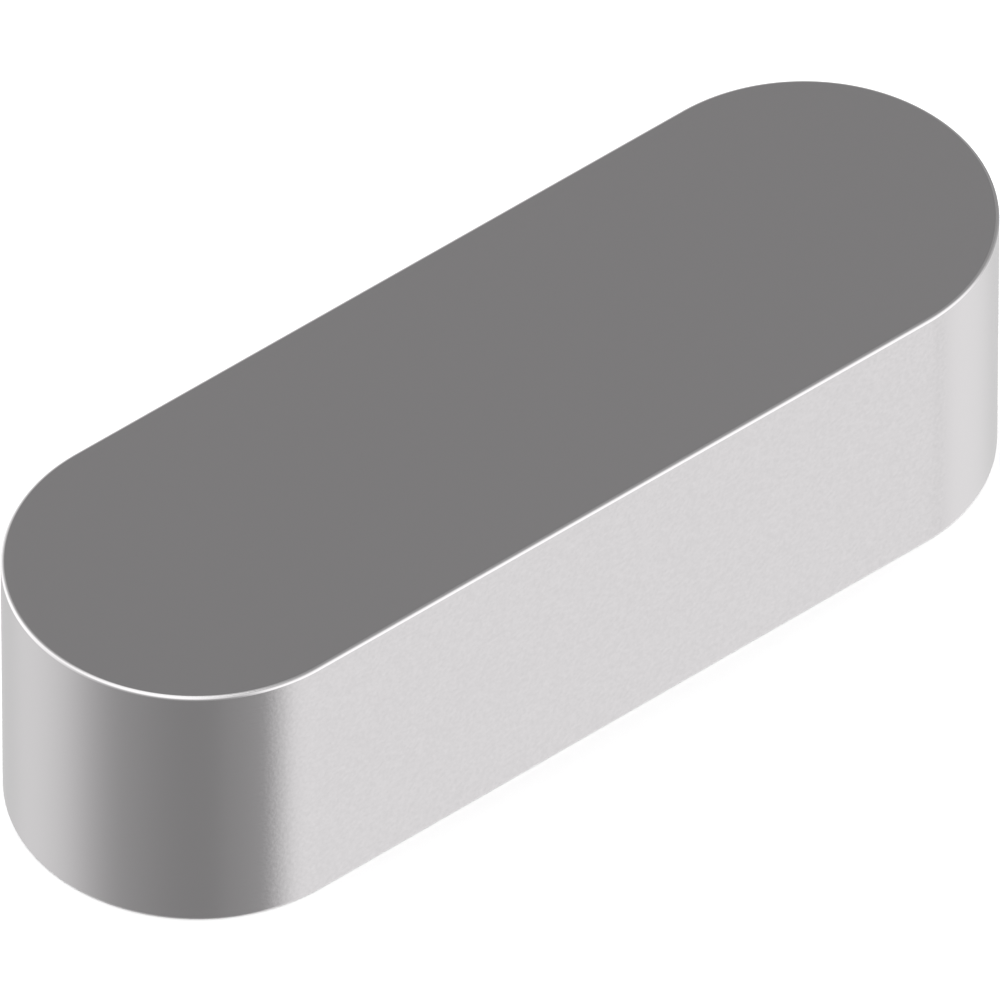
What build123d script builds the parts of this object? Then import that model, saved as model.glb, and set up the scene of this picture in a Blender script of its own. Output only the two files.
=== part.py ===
from build123d import *
import os

# A parallel key with two rounded ends, lying on its bottom face.
# Millimetres. The origin is the centre of the bottom face, +X runs along the key and +Z is up.

key_length = 30.0  # over both rounded ends
key_width = 10.0  # across the two sides, the width of the keyway it fits
key_height = 8.0  # between the bottom face and the top face
edge_radius = 0.1  # the small rounding all round the top and bottom faces

end_radius = key_width / 2  # each end is a full half circle, as an end mill leaves a keyway

with BuildPart() as key:
    with BuildSketch() as outline:
        SlotOverall(key_length, 2 * end_radius)
    extrude(amount=key_height)

    bottom_face = key.faces().sort_by(Axis.Z)[0]
    top_face = key.faces().sort_by(Axis.Z)[-1]
    fillet(bottom_face.edges() + top_face.edges(), radius=edge_radius)

parallel_key = key.part
parallel_key.label = "parallel_key"

os.makedirs("parts", exist_ok=True)
export_step(parallel_key, "parts/parallel_key.step")
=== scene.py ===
import math

import bpy
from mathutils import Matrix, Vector


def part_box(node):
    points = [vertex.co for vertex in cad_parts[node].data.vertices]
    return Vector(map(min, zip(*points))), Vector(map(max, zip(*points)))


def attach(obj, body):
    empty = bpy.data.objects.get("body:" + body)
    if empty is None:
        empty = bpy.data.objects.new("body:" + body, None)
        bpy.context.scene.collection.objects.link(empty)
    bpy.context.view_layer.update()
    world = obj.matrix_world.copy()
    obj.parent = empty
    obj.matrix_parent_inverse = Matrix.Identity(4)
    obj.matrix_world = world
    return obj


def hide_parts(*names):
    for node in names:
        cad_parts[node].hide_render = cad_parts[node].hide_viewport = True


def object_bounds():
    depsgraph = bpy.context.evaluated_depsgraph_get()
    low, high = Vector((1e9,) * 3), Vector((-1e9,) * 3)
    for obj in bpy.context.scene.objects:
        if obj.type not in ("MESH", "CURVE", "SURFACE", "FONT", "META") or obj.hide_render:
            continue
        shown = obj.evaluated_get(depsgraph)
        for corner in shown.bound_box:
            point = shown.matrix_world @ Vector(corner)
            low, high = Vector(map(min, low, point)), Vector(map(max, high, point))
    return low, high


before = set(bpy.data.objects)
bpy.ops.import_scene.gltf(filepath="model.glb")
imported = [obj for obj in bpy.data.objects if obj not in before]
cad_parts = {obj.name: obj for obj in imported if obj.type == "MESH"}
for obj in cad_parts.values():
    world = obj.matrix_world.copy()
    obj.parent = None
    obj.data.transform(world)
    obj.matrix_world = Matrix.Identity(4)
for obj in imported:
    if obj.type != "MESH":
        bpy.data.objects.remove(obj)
cadBox = [list(corner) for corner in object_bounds()]
print("frame loaded, box in metres:", cadBox)

scene = bpy.context.scene
millimetre = 0.001
rightAngle = 90.0  # degrees
noiseMiddle = 0.5  # noise runs from 0 to 1 round this
mixSockets = {"FLOAT": (2, 3, 0), "RGBA": (6, 7, 2)}  # a Mix node's A, B and Result for numbers and colours


def addNode(tree, kind, **settings):
    node = tree.nodes.new(kind)
    for name, value in settings.items():
        setattr(node, name, value)
    return node


def feed(tree, socket, value):
    # a socket is linked, a plain value is typed in
    if isinstance(value, bpy.types.NodeSocket):
        tree.links.new(value, socket)
    else:
        socket.default_value = value


def calc(tree, operation, *values):
    node = addNode(tree, "ShaderNodeMath", operation=operation)
    for socket, value in zip(node.inputs, values):
        feed(tree, socket, value)
    return node.outputs[0]


def clamp01(tree, value):
    # keeps a number between 0 and 1
    return calc(tree, "MINIMUM", calc(tree, "MAXIMUM", value, 0.0), 1.0)


def choose(tree, factor, low, high, kind="FLOAT"):
    # low where the factor is 0, high where it is 1
    lowSocket, highSocket, result = mixSockets[kind]
    node = addNode(tree, "ShaderNodeMix", data_type=kind)
    feed(tree, node.inputs["Factor"], factor)
    feed(tree, node.inputs[lowSocket], low)
    feed(tree, node.inputs[highSocket], high)
    return node.outputs[result]


def fadeIn(tree, value, none, full):
    # 0 up to none, 1 from full on, smooth between, either way round
    ramp = addNode(tree, "ShaderNodeMapRange", interpolation_type="SMOOTHSTEP")
    feed(tree, ramp.inputs["Value"], value)
    feed(tree, ramp.inputs["From Min"], none)
    feed(tree, ramp.inputs["From Max"], full)
    return ramp.outputs["Result"]


def addSockets(tree, direction, sockets):
    for name, kind in sockets.items():
        tree.interface.new_socket(name=name, in_out=direction, socket_type=kind)


def makeGrainGroup():
    # fine mottled specks that move the colour and the height of a surface, on the steel and on the paper
    group = bpy.data.node_groups.new("fineGrain", "ShaderNodeTree")
    addSockets(group, "INPUT", {
        "Vector": "NodeSocketVector",
        "Colour": "NodeSocketColor",
        "Speck Size": "NodeSocketFloat",
        "Tone Change": "NodeSocketFloat",
    })
    addSockets(group, "OUTPUT", {
        "Colour": "NodeSocketColor",
        "Grain": "NodeSocketFloat",
    })
    values = addNode(group, "NodeGroupInput").outputs
    groupOut = addNode(group, "NodeGroupOutput")

    noise = addNode(group, "ShaderNodeTexNoise", noise_dimensions="3D")
    feed(group, noise.inputs["Vector"], values["Vector"])
    feed(group, noise.inputs["Scale"], calc(group, "DIVIDE", 1.0, values["Speck Size"]))
    feed(group, noise.inputs["Detail"], 2.0)
    feed(group, noise.inputs["Roughness"], 0.5)

    # the colour swings either side of its own value
    swing = calc(group, "SUBTRACT", noise.outputs["Fac"], noiseMiddle)
    brightness = calc(group, "MULTIPLY_ADD", swing, values["Tone Change"], 1.0)
    tint = addNode(group, "ShaderNodeVectorMath", operation="SCALE")
    feed(group, tint.inputs[0], values["Colour"])
    feed(group, tint.inputs["Scale"], brightness)
    feed(group, groupOut.inputs["Colour"], tint.outputs[0])
    feed(group, groupOut.inputs["Grain"], noise.outputs["Fac"])
    return group


grainGroup = makeGrainGroup()

steelLook = {
    "colour": (0.645, 0.629, 0.637, 1.0),
    "edgeHighlightColour": (0.960, 0.940, 0.950, 1.0),  # painted highlight: a brighter colour on the rounded edges stands in for their bright rim reflection
    "edgeHighlightFade": (1.0, 7.0),  # degrees off level or upright where the painted highlight starts and where it is full
    "toneChange": 0.01,  # share of the colour that the grain moves
    "sideToneChange": 0.16,  # the same on the two flat sides, which are ground to fit the keyway
    "sideTurn": 6.0,  # degrees from the way a flat side faces to the middle of its grain, towards one end
    "sideFade": (16.0, 11.0),  # degrees off that middle where the grain is gone and where it is full
    "roughness": 0.18,
    "roughnessChange": 0.03,  # how far the drawn lines move it
    "speckSize": 0.11 * millimetre,
    "grainDepth": 0.0025 * millimetre,
    "lineWidth": 0.06 * millimetre,
    "lineStretch": 25.0,  # how many times longer than wide the lines are
    "lineDepth": 0.0008 * millimetre,
}


def degreesFrom(tree, facing):
    # angle between the way a face looks and one axis, either way along it
    return calc(tree, "DEGREES", calc(tree, "ARCCOSINE", calc(tree, "ABSOLUTE", facing)))


def drawnLines(tree, place, slope, look):
    # faint lines along the bar, left by the die it was drawn through
    fine = 1.0 / look["lineWidth"]
    coarse = fine / look["lineStretch"]
    spot = addNode(tree, "ShaderNodeSeparateXYZ")
    feed(tree, spot.inputs[0], place.outputs["Object"])

    # level faces carry the lines along X, upright faces carry them round the outline
    level = calc(tree, "LESS_THAN", slope, rightAngle / 2)
    acrossY = choose(tree, level, coarse, fine)
    stretched = addNode(tree, "ShaderNodeCombineXYZ")
    feed(tree, stretched.inputs["X"], calc(tree, "MULTIPLY", spot.outputs["X"], coarse))
    feed(tree, stretched.inputs["Y"], calc(tree, "MULTIPLY", spot.outputs["Y"], acrossY))
    feed(tree, stretched.inputs["Z"], calc(tree, "MULTIPLY", spot.outputs["Z"], fine))
    noise = addNode(tree, "ShaderNodeTexNoise", noise_dimensions="3D")
    feed(tree, noise.inputs["Vector"], stretched.outputs[0])
    feed(tree, noise.inputs["Scale"], 1.0)
    feed(tree, noise.inputs["Detail"], 2.0)
    return noise.outputs["Fac"]


def makeSteel(look):
    steel = bpy.data.materials.new("satinSteel")
    steel.use_nodes = True
    tree = steel.node_tree
    shader = tree.nodes["Principled BSDF"]
    place = addNode(tree, "ShaderNodeTexCoord")
    facing = addNode(tree, "ShaderNodeSeparateXYZ")
    feed(tree, facing.inputs[0], place.outputs["Normal"])

    # the two flat sides, whose grinding runs on further round one end than round the other
    sideTurn = math.radians(look["sideTurn"])
    sideMiddle = addNode(tree, "ShaderNodeVectorMath", operation="DOT_PRODUCT")
    feed(tree, sideMiddle.inputs[0], place.outputs["Normal"])
    feed(tree, sideMiddle.inputs[1], (math.sin(sideTurn), math.cos(sideTurn), 0.0))
    sides = fadeIn(tree, degreesFrom(tree, sideMiddle.outputs["Value"]), *look["sideFade"])

    # the painted rim highlight covers the rounded edges, all that is neither level nor upright
    slope = degreesFrom(tree, facing.outputs["Z"])
    offFlat = calc(tree, "MINIMUM", slope, calc(tree, "SUBTRACT", rightAngle, slope))
    edges = fadeIn(tree, offFlat, *look["edgeHighlightFade"])
    # painted highlight: the rounded edges get the brighter colour
    highlightedColour = choose(tree, edges, look["colour"], look["edgeHighlightColour"], "RGBA")

    grain = addNode(tree, "ShaderNodeGroup", node_tree=grainGroup)
    feed(tree, grain.inputs["Vector"], place.outputs["Object"])
    feed(tree, grain.inputs["Colour"], highlightedColour)
    feed(tree, grain.inputs["Speck Size"], look["speckSize"])
    feed(tree, grain.inputs["Tone Change"], choose(tree, sides, look["toneChange"], look["sideToneChange"]))
    feed(tree, shader.inputs["Base Color"], grain.outputs["Colour"])
    feed(tree, shader.inputs["Metallic"], 1.0)

    lines = drawnLines(tree, place, slope, look)
    lineSwing = calc(tree, "SUBTRACT", lines, noiseMiddle)
    roughness = calc(tree, "MULTIPLY_ADD", lineSwing, look["roughnessChange"], look["roughness"])
    feed(tree, shader.inputs["Roughness"], roughness)

    lineBump = addNode(tree, "ShaderNodeBump")
    feed(tree, lineBump.inputs["Distance"], look["lineDepth"])
    feed(tree, lineBump.inputs["Height"], lines)
    grainBump = addNode(tree, "ShaderNodeBump")
    feed(tree, grainBump.inputs["Distance"], look["grainDepth"])
    feed(tree, grainBump.inputs["Height"], calc(tree, "MULTIPLY", grain.outputs["Grain"], sides))
    feed(tree, grainBump.inputs["Normal"], lineBump.outputs["Normal"])
    feed(tree, shader.inputs["Normal"], grainBump.outputs["Normal"])
    return steel


steel = makeSteel(steelLook)
print("steel ready")

cadLow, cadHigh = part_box("parallel_key")
keyShape = {
    "Length": cadHigh.x - cadLow.x,
    "Width": cadHigh.y - cadLow.y,
    "Height": cadHigh.z - cadLow.z,
    "Edge Radius": 0.1 * millimetre,
    "Guard Gap": 0.01 * millimetre,  # from each rounding or end to the guard beside it, keeps the flats flat
    "End Steps": 160,  # faces round each half-round end
    "Edge Steps": 16,  # faces over each rounded edge
}


def makeKeyTree():
    # a flat grid wrapped into a closed bar, columns round the outline and rows from underneath to the top
    tree = bpy.data.node_groups.new("roundEndedKey", "GeometryNodeTree")
    addSockets(tree, "INPUT", {
        "Length": "NodeSocketFloat",
        "Width": "NodeSocketFloat",
        "Height": "NodeSocketFloat",
        "Edge Radius": "NodeSocketFloat",
        "Guard Gap": "NodeSocketFloat",
        "End Steps": "NodeSocketInt",
        "Edge Steps": "NodeSocketInt",
        "Steel": "NodeSocketMaterial",
    })
    addSockets(tree, "OUTPUT", {"Geometry": "NodeSocketGeometry"})
    sizes = addNode(tree, "NodeGroupInput").outputs
    groupOut = addNode(tree, "NodeGroupOutput")

    # half the outline: a guard, the columns round one end, a guard. The last of all closes on the first
    halfColumns = calc(tree, "ADD", sizes["End Steps"], 3)
    lastColumn = calc(tree, "MULTIPLY", halfColumns, 2)
    # half the height: the middle of a level face, a guard, the rows over the rounding, a guard
    halfRows = calc(tree, "ADD", sizes["Edge Steps"], 4)
    lastRow = calc(tree, "MULTIPLY_ADD", halfRows, 2, -1)
    grid = addNode(tree, "GeometryNodeMeshGrid")
    feed(tree, grid.inputs["Size X"], lastColumn)
    feed(tree, grid.inputs["Size Y"], lastRow)
    feed(tree, grid.inputs["Vertices X"], calc(tree, "ADD", lastColumn, 1))
    feed(tree, grid.inputs["Vertices Y"], calc(tree, "ADD", lastRow, 1))
    spot = addNode(tree, "ShaderNodeSeparateXYZ")
    feed(tree, spot.inputs[0], addNode(tree, "GeometryNodeInputPosition").outputs[0])
    endRadius = calc(tree, "MULTIPLY", sizes["Width"], 0.5)

    # rows count from each end of the grid, 0 in the middle of a level face and 2 where the rounding starts
    gridMiddle = calc(tree, "MULTIPLY", lastRow, 0.5)
    row = calc(tree, "SUBTRACT", gridMiddle, calc(tree, "ABSOLUTE", spot.outputs["Y"]))
    rowTurn = calc(tree, "DIVIDE", calc(tree, "SUBTRACT", row, 2.0), sizes["Edge Steps"])
    onRounding = clamp01(tree, rowTurn)
    pastRounding = calc(tree, "MULTIPLY", calc(tree, "SUBTRACT", rowTurn, onRounding), sizes["Edge Steps"])
    edgeAngle = calc(tree, "MULTIPLY", onRounding, math.pi / 2)
    innerRadius = calc(tree, "SUBTRACT", endRadius, sizes["Edge Radius"])
    reach = calc(tree, "MULTIPLY_ADD", calc(tree, "SINE", edgeAngle), sizes["Edge Radius"], innerRadius)
    reach = calc(tree, "MULTIPLY_ADD", calc(tree, "MINIMUM", pastRounding, 0.0), sizes["Guard Gap"], reach)
    pastMiddle = calc(tree, "GREATER_THAN", row, 0.5)  # row 0 closes on the middle line of the face
    reach = calc(tree, "MULTIPLY", reach, pastMiddle)
    curl = calc(tree, "SUBTRACT", 1.0, calc(tree, "COSINE", edgeAngle))
    drop = calc(tree, "MULTIPLY", curl, sizes["Edge Radius"])
    drop = calc(tree, "MULTIPLY_ADD", calc(tree, "MAXIMUM", pastRounding, 0.0), sizes["Guard Gap"], drop)
    halfHeight = calc(tree, "MULTIPLY", sizes["Height"], 0.5)
    topOrBottom = calc(tree, "SIGN", spot.outputs["Y"])
    z = calc(tree, "MULTIPLY_ADD", calc(tree, "SUBTRACT", halfHeight, drop), topOrBottom, halfHeight)

    # columns go round the right end and then the left one, 0 at the guard and 1 where the end starts
    column = calc(tree, "ROUND", calc(tree, "MULTIPLY_ADD", lastColumn, 0.5, spot.outputs["X"]))
    half = calc(tree, "MODULO", calc(tree, "FLOOR", calc(tree, "DIVIDE", column, halfColumns)), 2.0)
    along = calc(tree, "MODULO", column, halfColumns)
    columnTurn = calc(tree, "DIVIDE", calc(tree, "SUBTRACT", along, 1.0), sizes["End Steps"])
    onEnd = clamp01(tree, columnTurn)
    pastEnd = calc(tree, "ABSOLUTE", calc(tree, "SUBTRACT", columnTurn, onEnd))
    endAngle = calc(tree, "MULTIPLY", calc(tree, "ADD", calc(tree, "SUBTRACT", onEnd, 0.5), half), math.pi)
    guard = calc(tree, "MULTIPLY", calc(tree, "MULTIPLY", pastEnd, sizes["End Steps"]), sizes["Guard Gap"])
    centre = calc(tree, "SUBTRACT", calc(tree, "MULTIPLY", sizes["Length"], 0.5), endRadius)
    rightOrLeft = calc(tree, "MULTIPLY_ADD", half, -2.0, 1.0)
    centre = calc(tree, "MULTIPLY", calc(tree, "SUBTRACT", centre, guard), rightOrLeft)
    x = calc(tree, "MULTIPLY_ADD", calc(tree, "COSINE", endAngle), reach, centre)
    y = calc(tree, "MULTIPLY", calc(tree, "SINE", endAngle), reach)

    place = addNode(tree, "ShaderNodeCombineXYZ")
    for name, value in {"X": x, "Y": y, "Z": z}.items():
        feed(tree, place.inputs[name], value)
    wrap = addNode(tree, "GeometryNodeSetPosition")
    feed(tree, wrap.inputs["Geometry"], grid.outputs["Mesh"])
    feed(tree, wrap.inputs["Position"], place.outputs[0])
    weld = addNode(tree, "GeometryNodeMergeByDistance")
    feed(tree, weld.inputs["Geometry"], wrap.outputs[0])
    feed(tree, weld.inputs["Distance"], 0.001 * millimetre)
    smooth = addNode(tree, "GeometryNodeSetShadeSmooth")
    feed(tree, smooth.inputs["Geometry"], weld.outputs[0])
    realize = addNode(tree, "GeometryNodeRealizeInstances")
    feed(tree, realize.inputs["Geometry"], smooth.outputs[0])
    paint = addNode(tree, "GeometryNodeSetMaterial")
    feed(tree, paint.inputs["Geometry"], realize.outputs[0])
    feed(tree, paint.inputs["Material"], sizes["Steel"])
    feed(tree, groupOut.inputs["Geometry"], paint.outputs[0])
    return tree


def bakeNodes(name, tree, values):
    # runs the tree on an empty mesh and keeps the result as plain faces
    seedMesh = bpy.data.meshes.new(name)
    piece = bpy.data.objects.new(name, seedMesh)
    scene.collection.objects.link(piece)
    modifier = piece.modifiers.new("build", "NODES")
    modifier.node_group = tree
    for item in tree.interface.items_tree:
        if item.item_type == "SOCKET" and item.in_out == "INPUT":
            modifier[item.identifier] = values[item.name]
    depsgraph = bpy.context.evaluated_depsgraph_get()
    built = bpy.data.meshes.new_from_object(piece.evaluated_get(depsgraph))
    piece.modifiers.remove(modifier)
    piece.data = built
    built.name = name
    bpy.data.meshes.remove(seedMesh)
    return piece


key = bakeNodes("steelKey", makeKeyTree(), {**keyShape, "Steel": steel})
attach(key, "root")
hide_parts("parallel_key")
print("key built,", len(key.data.polygons), "faces")

floorLook = {
    "side": 5.0,  # metres
    "colour": (0.9, 0.9, 0.9, 1.0),
    "roughness": 0.8,
    "toneChange": 0.01,
    "speckSize": 0.4 * millimetre,
    "grainDepth": 0.004 * millimetre,
}


def makePaper(look):
    paper = bpy.data.materials.new("palePaper")
    paper.use_nodes = True
    tree = paper.node_tree
    shader = tree.nodes["Principled BSDF"]
    grain = addNode(tree, "ShaderNodeGroup", node_tree=grainGroup)
    feed(tree, grain.inputs["Vector"], addNode(tree, "ShaderNodeTexCoord").outputs["Object"])
    feed(tree, grain.inputs["Colour"], look["colour"])
    feed(tree, grain.inputs["Speck Size"], look["speckSize"])
    feed(tree, grain.inputs["Tone Change"], look["toneChange"])
    feed(tree, shader.inputs["Base Color"], grain.outputs["Colour"])
    feed(tree, shader.inputs["Roughness"], look["roughness"])
    feed(tree, shader.inputs["Specular IOR Level"], 0.0)
    bump = addNode(tree, "ShaderNodeBump")
    feed(tree, bump.inputs["Distance"], look["grainDepth"])
    feed(tree, bump.inputs["Height"], grain.outputs["Grain"])
    feed(tree, shader.inputs["Normal"], bump.outputs["Normal"])
    return paper


def makeFloor(look):
    reach = look["side"] / 2
    corners = [(-reach, -reach, 0), (reach, -reach, 0), (reach, reach, 0), (-reach, reach, 0)]
    mesh = bpy.data.meshes.new("studioFloor")
    mesh.from_pydata(corners, [], [(0, 1, 2, 3)])
    mesh.materials.append(makePaper(look))
    floor = bpy.data.objects.new("studioFloor", mesh)
    scene.collection.objects.link(floor)
    floor.visible_glossy = False  # the steel mirrors the low light boxes, not the paper


makeFloor(floorLook)
print("floor laid")

# each soft box reaches from, to in degrees round from the front and up from level, and each of those edges
# fades over the degrees given beside it, both ways
studioLight = {
    "paper": 1.75,  # light that falls on the floor
    "backdrop": 1.05,  # what the camera sees past the floor
    "room": 0.265,  # what the steel sees between the boxes
    "boxes": {
        "overhead": {
            "round": (-136, -20), "roundFade": (50, 30),
            "up": (8, 66), "upFade": (26, 9), "power": 0.82,
        },
        "leftWall": {
            "round": (-198, -123), "roundFade": (58, 42),
            "up": (-52, 28), "upFade": (21, 35), "power": 0.90,
        },
        "rightWall": {
            "round": (-15, 47), "roundFade": (58, 13),
            "up": (-39, -37), "upFade": (14, 16), "power": 0.91,
        },
        "rightUpper": {
            "round": (-9, 59), "roundFade": (11, 18),
            "up": (-31, 38), "upFade": (12, 37), "power": 0.80,
        },
        "lowRight": {
            "round": (11, 135), "roundFade": (13, 51),
            "up": (-63, -37), "upFade": (36, 17), "power": 0.94,
        },
        "lowLeft": {
            "round": (-138, -70), "roundFade": (21, 43),
            "up": (-91, -3), "upFade": (36, 7), "power": 0.18,
        },
        "lowFront": {
            "round": (-25, 13), "roundFade": (4, 4),
            "up": (-62, -28), "upFade": (10, 10), "power": 0.018,
        },
        "rightBack": {
            "round": (53, 89), "roundFade": (9, 25),
            "up": (-46, 21), "upFade": (4, 39), "power": 0.23,
        },
        "ceiling": {
            "round": (-240, 48), "roundFade": (6, 37),
            "up": (66, 120), "upFade": (11, 3), "power": 0.76,
        },
    },
}


def makeSoftBoxGroup():
    group = bpy.data.node_groups.new("softBox", "ShaderNodeTree")
    addSockets(group, "INPUT", {
        "Round": "NodeSocketFloat",
        "Up": "NodeSocketFloat",
        "Round From": "NodeSocketFloat",
        "Round To": "NodeSocketFloat",
        "Round From Fade": "NodeSocketFloat",
        "Round To Fade": "NodeSocketFloat",
        "Up From": "NodeSocketFloat",
        "Up To": "NodeSocketFloat",
        "Up From Fade": "NodeSocketFloat",
        "Up To Fade": "NodeSocketFloat",
        "Power": "NodeSocketFloat",
    })
    addSockets(group, "OUTPUT", {"Light": "NodeSocketFloat"})
    values = addNode(group, "NodeGroupInput").outputs
    groupOut = addNode(group, "NodeGroupOutput")

    def span(angle, name):
        # full light between two edges, each fading as far inside as outside
        start, startFade = values[name + " From"], values[name + " From Fade"]
        end, endFade = values[name + " To"], values[name + " To Fade"]
        darkBefore = calc(group, "SUBTRACT", start, startFade)
        litFrom = calc(group, "ADD", start, startFade)
        litTo = calc(group, "SUBTRACT", end, endFade)
        darkAfter = calc(group, "ADD", end, endFade)
        on = fadeIn(group, angle, darkBefore, litFrom)
        off = fadeIn(group, angle, darkAfter, litTo)
        return calc(group, "MULTIPLY", on, off)

    # the angle round is counted from the box's own middle, so that a box may cross the back
    middle = calc(group, "MULTIPLY", calc(group, "ADD", values["Round From"], values["Round To"]), 0.5)
    offMiddle = calc(group, "SUBTRACT", values["Round"], middle)
    away = calc(group, "WRAP", offMiddle, 2 * rightAngle, -2 * rightAngle)
    across = span(calc(group, "ADD", away, middle), "Round")
    shape = calc(group, "MULTIPLY", across, span(values["Up"], "Up"))
    feed(group, groupOut.inputs["Light"], calc(group, "MULTIPLY", shape, values["Power"]))
    return group


def makeStudio(light):
    world = bpy.data.worlds.new("studio")
    scene.world = world
    world.use_nodes = True
    world.cycles.sampling_method = "NONE"  # large soft boxes need no aimed rays
    tree = world.node_tree
    background = tree.nodes["Background"]
    boxGroup = makeSoftBoxGroup()

    # every direction as degrees round from the front, -Y, and degrees up from level
    direction = addNode(tree, "ShaderNodeSeparateXYZ")
    feed(tree, direction.inputs[0], addNode(tree, "ShaderNodeTexCoord").outputs["Generated"])
    front = calc(tree, "MULTIPLY", direction.outputs["Y"], -1.0)
    roundAngle = calc(tree, "DEGREES", calc(tree, "ARCTAN2", direction.outputs["X"], front))
    upAngle = calc(tree, "DEGREES", calc(tree, "ARCSINE", direction.outputs["Z"]))

    total = light["room"]
    for name, box in light["boxes"].items():
        node = addNode(tree, "ShaderNodeGroup", node_tree=boxGroup, label=name)
        edges = [*box["round"], *box["roundFade"], *box["up"], *box["upFade"]]
        for socket, value in zip(node.inputs, [roundAngle, upAngle, *edges, box["power"]]):
            feed(tree, socket, value)
        total = calc(tree, "ADD", total, node.outputs["Light"])

    # reflections see the boxes, the floor is lit evenly, the camera sees a plain backdrop
    path = addNode(tree, "ShaderNodeLightPath").outputs
    seen = choose(tree, path["Is Glossy Ray"], light["paper"], total)
    seen = choose(tree, path["Is Camera Ray"], seen, light["backdrop"])
    feed(tree, background.inputs["Color"], (1.0, 1.0, 1.0, 1.0))
    feed(tree, background.inputs["Strength"], seen)


makeStudio(studioLight)
print("studio light hung")

cameraSetup = {
    "round": -39.01,  # degrees from the front, negative is to the left
    "up": 44.62,  # degrees from level
    "away": 1.1744,  # metres
    "lens": 1650.0,  # long lens, parallel edges stay nearly parallel
    "clip": (0.01, 10.0),  # metres from the camera, the nearest and the farthest that is drawn
    "aimRight": -0.049 * millimetre,
    "aimUp": -0.048 * millimetre,
}


def makeCamera(setup, low, high):
    around, up = math.radians(setup["round"]), math.radians(setup["up"])
    back = Vector((math.sin(around) * math.cos(up), -math.cos(around) * math.cos(up), math.sin(up)))
    right = Vector((math.cos(around), math.sin(around), 0))
    aim = (Vector(low) + Vector(high)) / 2 + right * setup["aimRight"] + back.cross(right) * setup["aimUp"]
    data = bpy.data.cameras.new("camera")
    data.lens = setup["lens"]
    data.clip_start, data.clip_end = setup["clip"]
    camera = bpy.data.objects.new("camera", data)
    camera.location = aim + back * setup["away"]
    camera.rotation_euler = (-back).to_track_quat("-Z", "Y").to_euler()
    scene.collection.objects.link(camera)
    scene.camera = camera


makeCamera(cameraSetup, *cadBox)
scene.view_settings.view_transform = "Standard"
print("camera set")
